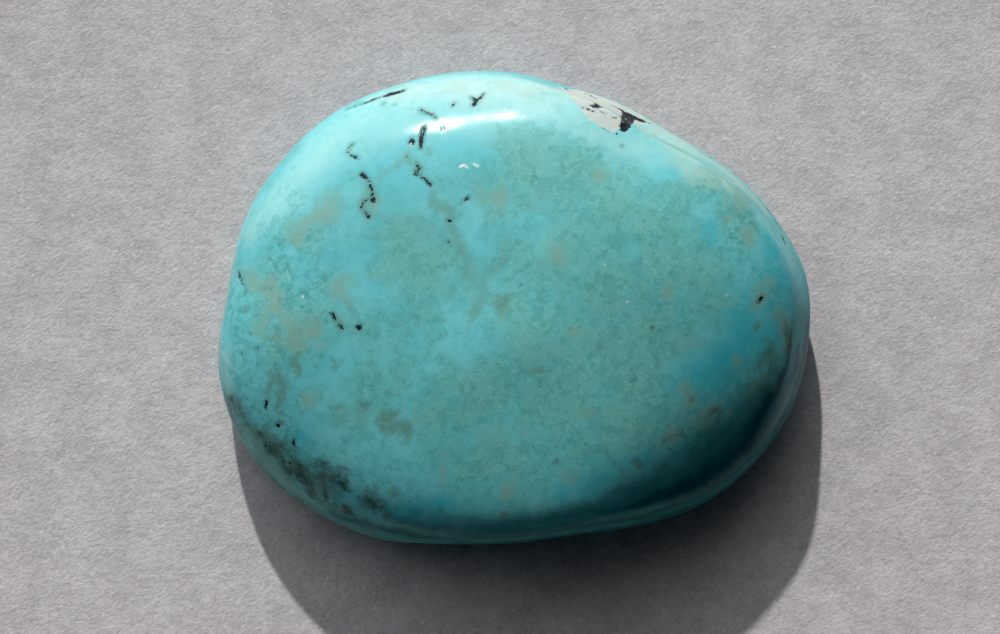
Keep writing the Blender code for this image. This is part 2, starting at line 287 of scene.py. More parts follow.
BLUE_PATCHES = (
    ((714, 232, 9.0), (706, 250, 8.0)),
    ((748, 312, 16.0), (742, 345, 18.0), (712, 372, 20.0), (680, 392, 12.0)),
    ((395, 515, 9.0), (445, 505, 9.0)), ((650, 455, 9.0), (560, 495, 9.0)), ((340, 500, 7.0),),
    ((772, 245, 10.0), (782, 270, 14.0), (794, 300, 18.0), (798, 340, 18.0), (785, 380, 14.0)),
    ((770, 270, 10.0), (775, 330, 14.0), (760, 350, 12.0)),
    ((802, 268, 16.0), (809, 300, 24.0), (810, 335, 24.0), (804, 365, 20.0)), ((300, 436, 8.0),),
)
GLINTS = (
    ((460, 166.5, 0.6), (464, 165, 0.7), (468, 167.5, 0.6)), ((474, 164.5, 0.7), (478, 166.5, 0.6)),
    ((627, 118, 0.9),), ((630, 122, 0.7),), ((623, 121, 0.7),), ((505, 110, 0.9),), ((303, 297, 0.8),),
    ((316, 296, 0.6),), ((628, 302, 0.8),), ((726, 295, 0.6),), ((764, 323, 0.7),), ((605, 265, 0.5),),
)
# how each marking fades out: a length in mm, a share of its radius, and how far it wanders
MARKING_KINDS = {
    "specks": (SPECKS_AND_RIM_SHADE_LINES, 0.50, 0.0, 0.10),
    "inclusions": (HOST_INCLUSIONS, 0.50, 0.0, 0.12),
    "glints": (GLINTS, 0.35, 0.0, 0.05),
    "host_rock": (HOST_ROCK, 0.60, 0.0, 0.20),
    "tan": (TAN_PATCHES, 0.25, 1.4, 0.60),
    "olive": (OLIVE_PATCHES, 0.25, 1.1, 0.70),
    "brown": (BROWN_PATCHES, 0.25, 1.0, 0.60),
    "moss": (MOSS_PATCHES, 0.20, 0.9, 0.60),
    "veins": (VEINS, 0.25, 0.9, 0.35),
    "cream": (CREAM_PATCHES, 0.40, 1.2, 0.60),
    "busy": (BUSY_AREAS, 1.00, 0.8, 0.90),
    "net": (NET_AREAS, 0.60, 0.9, 0.90),
    "green": (GREEN_PATCHES, 0.20, 1.3, 0.90),
    "clean": (CLEAN_PATCHES, 0.20, 1.3, 0.90),
    "pale": (PALE_STONE_AND_SHEEN_PATCHES, 0.60, 1.3, 0.50),
    "painted_sheen": (PAINTED_SHEEN_PATCHES, 0.60, 1.3, 0.50),
    "painted_deep_shade": (PAINTED_DEEP_SHADE_PATCHES, 0.30, 1.0, 0.25),
    "painted_rim_shade": (PAINTED_RIM_SHADE_PATCHES, 0.40, 0.9, 0.40),
    "blue": (BLUE_PATCHES, 0.30, 1.6, 0.80),
}
WANDER_LENGTH = 2.2
WANDER_DETAIL = 4
WANDER_SEED = 2
# the far side begins where the cosine toward the camera falls below UNSEEN_FROM
UNSEEN_FROM = 0.25
UNSEEN_WIDTH = 0.2

# --- the noises that the looks share: lengths and reaches in millimetres ------------
CLOUD_LENGTH = 7.0
BLOT_LENGTH = 2.2
EDGE_LENGTH = 1.1
FLAKE_LENGTH = 0.62
FLAKE_CROOK_LENGTH = 0.9
FLAKE_CROOK_REACH = 0.5
WISP_LENGTH = 0.55
GRAIN_LENGTH = 0.22
CRUMB_LENGTH = 0.32
HOST_EDGE_LENGTH = 0.8
HOST_TONE_LENGTH = 1.5
FLECK_SPACING = 0.9
BACK_DOT_SPACING = 3.0
BACK_DOT_CROOK_LENGTH = 0.6
BACK_DOT_CROOK_REACH = 0.3
SKIN_BUMP = 0.12
SKIN_BUMP_DEPTH = 0.05

# --- how strongly each marking colours the stone ------------------------------------
# soft layers: how far noise breaks the edge, where the mask starts and is full, strength
SOFT_LAYERS = {
    "pale": (0.4, 0.00, 0.90, 0.90),
    "painted_sheen": (0.5, 0.05, 1.00, 0.75),
    "blue": (0.5, 0.10, 0.90, 0.85),
    "veins": (1.1, 0.25, 0.85, 0.60),
    "cream": (1.1, 0.15, 0.95, 0.80),
    "tan_ring": (0.9, 0.10, 0.55, 0.50),
    "painted_rim_shade": (0.4, 0.05, 0.95, 0.85),
    "painted_deep_shade": (0.3, 0.05, 0.80, 0.90),
}
# mottled layers: the same edge and mask, then where the wisps start and are full, and the
# strength in the wisps and off them
MOTTLED_LAYERS = {
    "tan": (0.9, 0.25, 0.85, 0.30, 0.70, 0.90, 0.50),
    "olive": (1.0, 0.28, 0.78, 0.30, 0.70, 0.90, 0.60),
    "brown": (1.0, 0.24, 0.85, 0.35, 0.65, 0.90, 0.45),
    "moss": (0.9, 0.25, 0.90, 0.35, 0.60, 0.95, 0.40),
}
# masks broken up by noise and then cut off sharply: spread, start and full
SPECK_MASK = (0.65, 0.43, 0.55)
INCLUSION_MASK = (0.8, 0.45, 0.55)
ROCK_MASK = (0.60, 0.46, 0.54)
# what draws the net toward a place or holds it back: fields, then noises
NET_PULLS = {"net": 0.65, "clean": -0.55, "blue": -0.30, "pale": -0.45}
NET_BLOT_SHARE = 1.6
NET_EDGE_SHARE = 0.5
NET_RANGE = (0.75, 1.60)
NET_STRENGTH = 0.85
GREEN_PATCH_SHARE = 0.6
GREEN_COVER_SHARE = 0.55
GREEN_EDGE_SHARE = 0.6
GREEN_RANGE = (0.75, 1.55)
GREEN_STRENGTH = 0.8
# flakes and wisps: their strength everywhere, and more of it in the net and the busy areas
FINE_EVERYWHERE = 0.15
FINE_IN_NET = 0.50
FINE_IN_BUSY = 0.60
DARK_FLAKES = 0.40
DARK_WISPS = 0.60
PALE_WISPS = 0.55
BACK_TAN = 0.9
BACK_OLIVE = 0.7
HALO_STRENGTH = 0.9
FLECK_STRENGTH = 0.5

# --- colours ----------------------------------------------------------------------
CLEAN_BLUE = (0.116, 0.470, 0.505, 1.0)
PALE_BLUE = (0.158, 0.510, 0.525, 1.0)
# paler stone, partly painted sheen, for the lit rim
PALE_STONE_AND_SHEEN = (0.270, 0.570, 0.555, 1.0)
# painted sheen
PAINTED_SHEEN_WHITE = (0.440, 0.600, 0.570, 1.0)
VIVID_BLUE = (0.036, 0.390, 0.460, 1.0)
# painted shade for the shaded lower-right wall
PAINTED_DEEP_SHADE_BLUE = (0.025, 0.065, 0.090, 1.0)
# painted shade for the shaded lower and right rim
PAINTED_RIM_SHADE_BLUE = (0.045, 0.140, 0.155, 1.0)
NET_BLUE = (0.093, 0.395, 0.395, 1.0)
GREEN_GREY = (0.146, 0.405, 0.362, 1.0)
VEIN_GREY = (0.115, 0.310, 0.275, 1.0)
DARK_FLAKE = (0.040, 0.230, 0.220, 1.0)
PALE_FLAKE = (0.215, 0.555, 0.530, 1.0)
TAN = (0.198, 0.345, 0.285, 1.0)
CREAM = (0.340, 0.505, 0.445, 1.0)
OLIVE = (0.100, 0.245, 0.205, 1.0)
BROWN = (0.080, 0.140, 0.125, 1.0)
MOSS = (0.028, 0.080, 0.074, 1.0)
HOST_CREAM = (0.420, 0.485, 0.460, 1.0)
HOST_PINK = (0.470, 0.490, 0.420, 1.0)
INK = (0.012, 0.016, 0.022, 1.0)
GLINT_WHITE = (0.850, 0.900, 0.880, 1.0)

# --- the paper under the stone: colours, and its fibres in millimetres and degrees ---
PAPER_LIGHT = (0.530, 0.508, 0.508, 1.0)
PAPER_DARK = (0.350, 0.333, 0.340, 1.0)
PAPER_SPECK = (0.640, 0.635, 0.620, 1.0)
FIBRE_WIDTH = 0.24
FIBRE_STRETCH = 1.7
FIBRE_ANGLE = 35.0
PAPER_LUMP_LENGTH = 1.1
PAPER_CLOUD_LENGTH = 3.6
PAPER_LUMP_TONE = 0.70
PAPER_CLOUD_TONE = 0.55
PAPER_LUMP_HEIGHT = 2.3
PAPER_SPECK_SPACING = 0.8
PAPER_SPECK_CROOK_LENGTH = 0.5
PAPER_SPECK_CROOK_REACH = 0.2
PAPER_SPECK_STRENGTH = 0.55
PAPER_BUMP = 0.40
PAPER_BUMP_DEPTH = 0.14
PAPER_ROUGHNESS = 0.95
PAPER_GLOSS = 0.2
FLOOR_HALF_WIDTH = 600.0

# --- camera and light ------------------------------------------------------------
CAMERA_ELEVATION = 80.0
CAMERA_DISTANCE = 236.0
CAMERA_TARGET = (-1.24, -1.25, 6.0)
LENS = 100.0
SENSOR = 36.0
IMAGE_SIZE = (1000, 634)
CLIP_START = 10.0
CLIP_END = 10000.0
SUN_AZIMUTH = 100.0
SUN_ELEVATION = 32.0
SUN_STRENGTH = 3.6
SUN_ANGLE = 1.5
SUN_COLOUR = (1.0, 0.985, 0.965)
SKY_TOWARD = (-0.5, 0.85, 0.4)
SKY_BRIGHT = 1.85
SKY_DIM = 0.04
SKY_EDGE = 0.45
SKY_COLOUR = (0.93, 0.95, 1.0, 1.0)
BLACK_LEVEL = 0.006
BODY_ROUGHNESS = 0.38
BODY_GLOSS = 0.05
BLOT_ROUGHNESS = 0.12
NET_ROUGHNESS = 0.05
DULL_ROUGHNESS = 0.25
COAT = 0.22
COAT_ROUGHNESS = 0.15


def around(values, azimuth):
    """A smooth closed curve through evenly spaced values, read at azimuths in radians."""
    table = np.asarray(values, dtype=float)
    count = len(table)
    place = np.mod(azimuth, 2.0 * math.pi) / (2.0 * math.pi) * count
    index = np.floor(place).astype(int)
    t = place - index
    before = table[(index - 1) % count]
    start = table[index % count]
    end = table[(index + 1) % count]
    after = table[(index + 2) % count]
    value = start * (1.0 - 3.0 * t**2 + 2.0 * t**3) + end * (3.0 * t**2 - 2.0 * t**3)
    value = value + 0.5 * (end - before) * (t - 2.0 * t**2 + t**3)
    value = value + 0.5 * (after - start) * (t**3 - t**2)
    return value


def toward(azimuth_deg, rise_deg, dx, dy, dz):
    """Cosine between unit directions and the one at this azimuth and rise."""
    azimuth = math.radians(azimuth_deg)
    rise = math.radians(rise_deg)
    level = math.cos(azimuth) * dx + math.sin(azimuth) * dy
    return math.cos(rise) * level + math.sin(rise) * dz


def swelling(dx, dy, dz):
    """Height in mm of the hollows and swells along unit directions."""
    height = np.zeros_like(dx)
    for azimuth, rise, half_width, swell in SWELLS:
        spread = 1.0 - math.cos(math.radians(half_width))
        height = height + swell * np.exp((toward(azimuth, rise, dx, dy, dz) - 1.0) / spread)
    return height


def crown_share(dx, dy, dz, waist):
    """Inverse distance from the heart to the crown and its worn faces."""
    azimuth = np.arctan2(dy, dx)
    power = around(CROWN_POWERS, azimuth)
    rim = waist + around(CROWN_OVERHANGS, azimuth)
    climb = np.maximum(dz - CROWN_TILT_X * dx - CROWN_TILT_Y * dy, 0.0)
    dome = (np.hypot(dx, dy) / rim) ** power + (climb / (CROWN_Z - WAIST_Z)) ** power
    share = dome ** (FACE_POWER / power)
    for azimuth_deg, rise_deg, distance in WORN_FACES:
        along = np.maximum(toward(azimuth_deg, rise_deg, dx, dy, dz), 0.0)
        share = share + (along / distance) ** FACE_POWER
    return share ** (1.0 / FACE_POWER)


def reach(dx, dy, dz):
    """Distance in mm from the heart to the stone's skin along unit directions."""
    out = np.hypot(dx, dy)
    azimuth = np.arctan2(dy, dx)
    waist = around(WAIST_RADII, azimuth) * 2.0 ** (1.0 / EDGE_POWER)
    crown = crown_share(dx, dy, dz, waist)
    girdle = np.maximum(out + around(GIRDLE_LEANS, azimuth) * dz, 0.0) / waist
    undercut = np.maximum(out - UNDERCUT_LEAN * dz, 0.0) / waist
    base = np.maximum(-dz, 0.0) / WAIST_Z
    upper = (crown**CREASE_POWER + girdle**CREASE_POWER) ** (EDGE_POWER / CREASE_POWER)
    total = upper + undercut**EDGE_POWER + base**EDGE_POWER
    return total ** (-1.0 / EDGE_POWER) + swelling(dx, dy, dz)


def disk_place(u, v):
    """Bend a square grid from -1 to 1 into a disk: ring (0 to 1) and azimuth of each point."""
    ring = np.maximum(np.abs(u), np.abs(v))
    safe = np.maximum(ring, 1e-9)
    sideways = np.abs(u) >= np.abs(v)
    quarter = np.where(sideways, v, -u) / safe
    turn = np.where(sideways, 0.0, 0.5 * math.pi)
    flipped = np.where(sideways, u < 0.0, v < 0.0)
    azimuth = turn + np.where(flipped, math.pi - quarter * math.pi / 4.0, quarter * math.pi / 4.0)
    return ring, azimuth


def skin_points(u, v):
    """Points in mm on the stone's skin: the grid's middle on the crown, its rim on the base."""
    ring, azimuth = disk_place(u, v)
    base_out = (around(WAIST_RADII, azimuth) - UNDERCUT_LEAN * WAIST_Z) * BASE_SHARE
    base_angle = 90.0 + np.degrees(np.arctan2(WAIST_Z, base_out))
    upper = ring / SHOULDER_RING * SHOULDER_ANGLE
    lower_share = (ring - SHOULDER_RING) / (1.0 - SHOULDER_RING)
    lower = SHOULDER_ANGLE + lower_share * (base_angle - SHOULDER_ANGLE)
    polar = np.radians(np.where(ring < SHOULDER_RING, upper, lower))
    dx = np.sin(polar) * np.cos(azimuth)
    dy = np.sin(polar) * np.sin(azimuth)
    dz = np.cos(polar)
    length = reach(dx, dy, dz)
    points = np.stack((length * dx, length * dy, WAIST_Z + length * dz), axis=-1)
    points[ring > 1.0 - 1e-6, 2] = 0.0
    flat = points.reshape(-1, 3)
    middle = 0.5 * (flat.min(axis=0) + flat.max(axis=0))
    return points - np.array((middle[0], middle[1], 0.0))


def grid_normals(points):
    """Outward unit normals of a grid of points."""
    along = np.gradient(points, axis=1)
    across = np.gradient(points, axis=0)
    normals = np.cross(along, across)
    return normals / np.maximum(np.linalg.norm(normals, axis=-1, keepdims=True), 1e-12)


def grid_faces(side):
    """Quads of the grid, with those on the two diagonals cut from the crown outward."""
    faces = []
    for row in range(side - 1):
        for column in range(side - 1):
            a = row * side + column
            b = a + 1
            c = a + side + 1
            d = a + side
            if row == column:
                faces.append((a, b, c))
                faces.append((a, c, d))
            elif row + column == side - 2:
                faces.append((a, b, d))
                faces.append((b, c, d))
            else:
                faces.append((a, b, c, d))
    return faces


def rim_loop(side):
    """The grid's outermost points in order, so that the base they close faces down."""
    last = side - 1
    bottom = list(range(last))
    right = [row * side + last for row in range(last)]
    top = [last * side + column for column in range(last, 0, -1)]
    left = [row * side for row in range(last, 0, -1)]
    return tuple((bottom + right + top + left)[::-1])


def camera_place():
    """The camera's place and its right, up and back axes, in millimetres."""
    rise = math.radians(CAMERA_ELEVATION)
    right = np.array((1.0, 0.0, 0.0))
    up = np.array((0.0, math.sin(rise), math.cos(rise)))
    back = np.array((0.0, -math.cos(rise), math.sin(rise)))
    return np.array(CAMERA_TARGET) + CAMERA_DISTANCE * back, right, up, back


def on_stone(tree, column, row):
    """The point in mm where a picture position meets the stone, or the nearest one to it."""
    place, right, up, back = camera_place()
    per_pixel = SENSOR / LENS / IMAGE_SIZE[0]
    across = (column - 0.5 * IMAGE_SIZE[0]) * per_pixel
    down = (row - 0.5 * IMAGE_SIZE[1]) * per_pixel
    ray = across * right - down * up - back
    hit = tree.ray_cast(Vector(place), Vector(ray))[0]
    if hit is None:
        hit = tree.find_nearest(Vector(place + CAMERA_DISTANCE * ray))[0]
    return np.array(hit)


def chain_closeness(points, tree, chains, soft_mm, soft_share):
    """How near each point is to the marking: 1 inside, 0.5 at its edge, 0 well outside."""
    pixel_mm = CAMERA_DISTANCE * SENSOR / LENS / IMAGE_SIZE[0]
    best = np.zeros(len(points))
    for chain in chains:
        discs = [(on_stone(tree, column, row), radius * pixel_mm) for column, row, radius in chain]
        for start, end in zip(discs, discs[1:] or discs):
            leg = end[0] - start[0]
            share = (points - start[0]) @ leg / max(leg @ leg, 1e-9)
            share = np.clip(share, 0.0, 1.0)
            gap = np.linalg.norm(points - start[0] - share[:, None] * leg, axis=1)
            radius = start[1] + share * (end[1] - start[1])
            soft = soft_mm + soft_share * radius
            best = np.maximum(best, np.clip(0.5 + 0.5 * (radius - gap) / soft, 0.0, 1.0))
    return best


def turned_away(normals):
    """1 where the stone faces away from the picture's camera, 0 where it faces it."""
    facing = normals @ camera_place()[3]
    return np.clip((UNSEEN_FROM - facing) / UNSEEN_WIDTH, 0.0, 1.0)


def waves(points, length):
    """Smooth noise from about -1 to 1 with the given wave length in mm."""
    return np.array([noise.noise(Vector(point / length)) for point in points])


def marking_fields(points, normals, tree):
    """One value per point for each marking; the material reads them as attributes."""
    noise.seed_set(WANDER_SEED)
    places = [Vector(point / WANDER_LENGTH) for point in points]
    drift = np.array([noise.turbulence_vector(place, WANDER_DETAIL, False) for place in places])
    fields = {"unseen": turned_away(normals)}
    for name, (chains, soft_mm, soft_share, wander) in MARKING_KINDS.items():
        fields[name] = chain_closeness(points + wander * drift, tree, chains, soft_mm, soft_share)
    return fields


def smooth_step(low, high, value):
    """0 below low, 1 above high, with a smooth climb between."""
    share = np.clip((value - low) / (high - low), 0.0, 1.0)
    return share * share * (3.0 - 2.0 * share)


def low_relief(points, fields):
    """Height in mm over the smooth stone: tumbled waves, pits at specks, gritty host rock."""
    height = WAVE_HEIGHT * waves(points, WAVE_LENGTH)
    height = height + RIPPLE_HEIGHT * waves(points, RIPPLE_LENGTH)
    pits = np.maximum(fields["specks"], fields["inclusions"])
    height = height - PIT_DEPTH * smooth_step(0.4, 0.65, pits)
    host = smooth_step(0.42, 0.55, fields["host_rock"])
    grit = HOST_GRIT * waves(points, HOST_GRIT_LENGTH)
    return height + host * (grit - HOST_DEPTH)


def build_stone():
    """The stone's mesh, with low relief and one attribute for each marking."""
    side = 2 * FINE_RINGS + 1
    steps = np.linspace(-1.0, 1.0, side)
    u, v = np.meshgrid(steps, steps)
    grid = skin_points(u, v)
    points = grid.reshape(-1, 3)
    normals = grid_normals(grid).reshape(-1, 3)
    faces = grid_faces(side)
    faces.append(rim_loop(side))
    tree = BVHTree.FromPolygons(points.tolist(), faces)
    fields = marking_fields(points, normals, tree)
    lifted = (points[:, 2] > RELIEF_FROM_Z).astype(float)
    raised = points + (low_relief(points, fields) * lifted)[:, None] * normals
    mesh = bpy.data.meshes.new("turquoise_stone")
    mesh.from_pydata((raised * MM).tolist(), [], faces)
    mesh.update()
    mesh.shade_smooth()
    mesh.polygons[len(faces) - 1].use_smooth = False
    for name, values in fields.items():
        layer = mesh.attributes.new(name, "FLOAT", "POINT")
        layer.data.foreach_set("value", values.astype(np.float32))
    stone = bpy.data.objects.new("turquoise_stone", mesh)
    bpy.context.scene.collection.objects.link(stone)
    return stone


class Nodes:
    """Short words for building one material's node tree."""

    def __init__(self, material):
        material.use_nodes = True
        self.tree = material.node_tree
        self.shader = self.tree.nodes["Principled BSDF"]

    def put(self, socket, value):
        if isinstance(value, bpy.types.NodeSocket):
            self.tree.links.new(value, socket)
        else:
            socket.default_value = value

    def field(self, name):
        node = self.tree.nodes.new("ShaderNodeAttribute")
        node.attribute_name = name
        return node.outputs["Fac"]

    def place(self):
        """Object coordinates in millimetres."""
        source = self.tree.nodes.new("ShaderNodeTexCoord")
        node = self.tree.nodes.new("ShaderNodeVectorMath")
        node.operation = "SCALE"
        self.put(node.inputs[0], source.outputs["Object"])
        node.inputs["Scale"].default_value = 1.0 / MM
        return node.outputs["Vector"]

    def noise(self, place, length, detail=2.0, roughness=0.5, distortion=0.0):
        node = self.tree.nodes.new("ShaderNodeTexNoise")
        self.put(node.inputs["Vector"], place)
        node.inputs["Scale"].default_value = 1.0 / length
        node.inputs["Detail"].default_value = detail
        node.inputs["Roughness"].default_value = roughness
        node.inputs["Distortion"].default_value = distortion
        return node.outputs["Fac"]

    def cells(self, place, length, output="Distance"):
        """Distance from the middle of each cell, or with "Color" a random tone for each cell."""
        node = self.tree.nodes.new("ShaderNodeTexVoronoi")
        self.put(node.inputs["Vector"], place)
        node.inputs["Scale"].default_value = 1.0 / length
        return node.outputs[output]

    def bent(self, place, length, reach_mm):
        """The place moved to and fro by noise, so that what is drawn there turns crooked."""
        wobble = self.tree.nodes.new("ShaderNodeTexNoise")
        self.put(wobble.inputs["Vector"], place)
        wobble.inputs["Scale"].default_value = 1.0 / length
        wobble.inputs["Detail"].default_value = 2.0
        node = self.tree.nodes.new("ShaderNodeVectorMath")
        node.operation = "MULTIPLY_ADD"
        self.put(node.inputs[0], wobble.outputs["Color"])
        node.inputs[1].default_value = (2.0 * reach_mm, 2.0 * reach_mm, 2.0 * reach_mm)
        self.put(node.inputs[2], place)
        return node.outputs["Vector"]

    def times(self, first, second):
        return self.math("MULTIPLY", first, second)

    def math(self, operation, first, second=0.0, third=0.0):
        node = self.tree.nodes.new("ShaderNodeMath")
        node.operation = operation
        self.put(node.inputs[0], first)
        self.put(node.inputs[1], second)
        self.put(node.inputs[2], third)
        return node.outputs["Value"]

    def step(self, value, low, high, top=1.0, bottom=0.0):
        node = self.tree.nodes.new("ShaderNodeMapRange")
        node.interpolation_type = "SMOOTHSTEP"
        self.put(node.inputs["Value"], value)
        node.inputs["From Min"].default_value = low
        node.inputs["From Max"].default_value = high
        node.inputs["To Min"].default_value = bottom
        node.inputs["To Max"].default_value = top
        return node.outputs["Result"]

    def mix(self, share, first, second):
        node = self.tree.nodes.new("ShaderNodeMix")
        node.data_type = "RGBA"
        self.put(node.inputs["Factor"], share)
        self.put(node.inputs["A"], first)
        self.put(node.inputs["B"], second)
        return node.outputs["Result"]

    def ragged(self, name, noise_value, spread, low, high):
        """A marking's mask with its edge broken up by noise."""
        field = self.math("MULTIPLY_ADD", noise_value, spread, self.field(name))
        return self.step(self.math("SUBTRACT", field, 0.5 * spread), low, high)

    def bump(self, height, strength, distance):
        node = self.tree.nodes.new("ShaderNodeBump")
        node.inputs["Strength"].default_value = strength
        node.inputs["Distance"].default_value = distance
        self.put(node.inputs["Height"], height)
        return node.outputs["Normal"]


def stone_tones(nodes):
    """The noises that the stone's colours and finish share, from broad clouds to fine grain."""
    place = nodes.place()
    crooked = nodes.bent(place, FLAKE_CROOK_LENGTH, FLAKE_CROOK_REACH)
    return {
        "place": place,
        "cloud": nodes.noise(place, CLOUD_LENGTH, detail=3.0, distortion=0.6),
        "blot": nodes.noise(place, BLOT_LENGTH, detail=5.0, roughness=0.62, distortion=0.6),
        "edge": nodes.noise(place, EDGE_LENGTH, detail=5.0, roughness=0.65, distortion=0.4),
        "flake": nodes.cells(crooked, FLAKE_LENGTH, "Color"),
        "wisp": nodes.noise(place, WISP_LENGTH, detail=3.0, roughness=0.6, distortion=1.4),
        "grain": nodes.noise(place, GRAIN_LENGTH, detail=3.0, roughness=0.7),
    }


def soft_layer(nodes, colour, name, noise_value, paint, field=None):
    """The colour with one soft layer of paint over it, where its marking lies."""
    spread, low, high, strength = SOFT_LAYERS[name]
    mask = nodes.ragged(field or name, noise_value, spread, low, high)
    return nodes.mix(nodes.times(mask, strength), colour, paint)


def mottled_layer(nodes, tones, colour, name, paint, back=None):
    """The colour with patches broken up by wisps; back is a mask of more on the unseen side."""
    spread, low, high, wisp_low, wisp_high, in_wisps, off_wisps = MOTTLED_LAYERS[name]
    mask = nodes.ragged(name, tones["edge"], spread, low, high)
    if back is not None:
        mask = nodes.math("MAXIMUM", mask, nodes.times(nodes.field("unseen"), back))
    strength = nodes.step(tones["wisp"], wisp_low, wisp_high, top=in_wisps, bottom=off_wisps)
    return nodes.mix(nodes.times(mask, strength), colour, paint)


def net_and_green(nodes, tones):
    """Masks of the net, over its areas and held back in the clean parts, and of its greener part."""
    cover = nodes.times(tones["blot"], NET_BLOT_SHARE)
    for name, pull in NET_PULLS.items():
        cover = nodes.math("MULTIPLY_ADD", nodes.field(name), pull, cover)
    cover = nodes.math("MULTIPLY_ADD", tones["edge"], NET_EDGE_SHARE, cover)
    green = nodes.times(cover, GREEN_COVER_SHARE)
    green = nodes.math("MULTIPLY_ADD", nodes.field("green"), GREEN_PATCH_SHARE, green)
    green = nodes.math("MULTIPLY_ADD", tones["edge"], GREEN_EDGE_SHARE, green)
    return nodes.step(cover, *NET_RANGE), nodes.step(green, *GREEN_RANGE)


def body_colour(nodes, tones):
    """Blue turquoise with a green-grey net over it, and the net's mask."""
    blot = tones["blot"]
    wisp = tones["wisp"]
    colour = nodes.mix(nodes.step(tones["cloud"], 0.35, 0.7), CLEAN_BLUE, PALE_BLUE)
    colour = nodes.mix(nodes.step(blot, 0.42, 0.66, top=0.45), colour, NET_BLUE)
    # paler stone with painted sheen along the lit rim
    colour = soft_layer(nodes, colour, "pale", blot, PALE_STONE_AND_SHEEN)
    # painted sheen, whitish, over the upper rim beside the highlight
    colour = soft_layer(nodes, colour, "painted_sheen", blot, PAINTED_SHEEN_WHITE)
    colour = soft_layer(nodes, colour, "blue", blot, VIVID_BLUE)
    net, green = net_and_green(nodes, tones)
    colour = nodes.mix(nodes.times(net, NET_STRENGTH), colour, NET_BLUE)
    colour = nodes.mix(nodes.times(green, GREEN_STRENGTH), colour, GREEN_GREY)
    # flakes and wisps, dark and pale, strongest in the net
    fine = nodes.math("MULTIPLY_ADD", net, FINE_IN_NET, FINE_EVERYWHERE)
    fine = nodes.math("MULTIPLY_ADD", nodes.field("busy"), FINE_IN_BUSY, fine)
    dark = nodes.step(tones["flake"], 0.30, 0.50, top=0.0, bottom=DARK_FLAKES)
    colour = nodes.mix(nodes.times(dark, fine), colour, DARK_FLAKE)
    dark_wisp = nodes.step(wisp, 0.55, 0.68, top=DARK_WISPS)
    colour = nodes.mix(nodes.times(dark_wisp, fine), colour, DARK_FLAKE)
    pale_wisp = nodes.step(wisp, 0.34, 0.45, top=0.0, bottom=PALE_WISPS)
    colour = nodes.mix(nodes.times(pale_wisp, fine), colour, PALE_FLAKE)
    return colour, net


def patch_colour(nodes, tones, colour):
    """Tan, olive and brown patches; the back has its own, by noise alone."""
    edge = tones["edge"]
    blot = tones["blot"]
    colour = soft_layer(nodes, colour, "veins", edge, VEIN_GREY)
    colour = soft_layer(nodes, colour, "cream", edge, CREAM)
    colour = soft_layer(nodes, colour, "tan_ring", edge, GREEN_GREY, field="tan")
    back_tan = nodes.step(blot, 0.58, 0.68, top=BACK_TAN)
    colour = mottled_layer(nodes, tones, colour, "tan", TAN, back_tan)
    back_olive = nodes.step(tones["cloud"], 0.58, 0.68, top=BACK_OLIVE)
    colour = mottled_layer(nodes, tones, colour, "olive", OLIVE, back_olive)
    colour = mottled_layer(nodes, tones, colour, "brown", BROWN)
    colour = mottled_layer(nodes, tones, colour, "moss", MOSS)
    # painted shade: a darker band along the shaded lower and right rim
    colour = soft_layer(nodes, colour, "painted_rim_shade", blot, PAINTED_RIM_SHADE_BLUE)
    # painted shade: the darkest colour on the shaded lower-right wall
    return soft_layer(nodes, colour, "painted_deep_shade", blot, PAINTED_DEEP_SHADE_BLUE)


def rock_mask(nodes, tones):
    """The cream host rock, with a broken edge."""
    return nodes.ragged("host_rock", nodes.noise(tones["place"], HOST_EDGE_LENGTH, detail=5.0), *ROCK_MASK)


def ink_mask(nodes, tones):
    """Black specks, the host rock's inclusions, and dots of their own on the back."""
    crumb = nodes.noise(tones["place"], CRUMB_LENGTH, detail=4.0, roughness=0.75)
    # The specks field also holds two painted shade lines along the upper-right rim.
    specks = nodes.ragged("specks", crumb, *SPECK_MASK)
    inclusions = nodes.ragged("inclusions", crumb, *INCLUSION_MASK)
    crooked = nodes.bent(tones["place"], BACK_DOT_CROOK_LENGTH, BACK_DOT_CROOK_REACH)
    dots = nodes.step(nodes.cells(crooked, BACK_DOT_SPACING), 0.05, 0.10, top=0.0, bottom=1.0)
    back_dots = nodes.times(nodes.field("unseen"), dots)
    return nodes.math("MAXIMUM", nodes.math("MAXIMUM", specks, inclusions), back_dots)


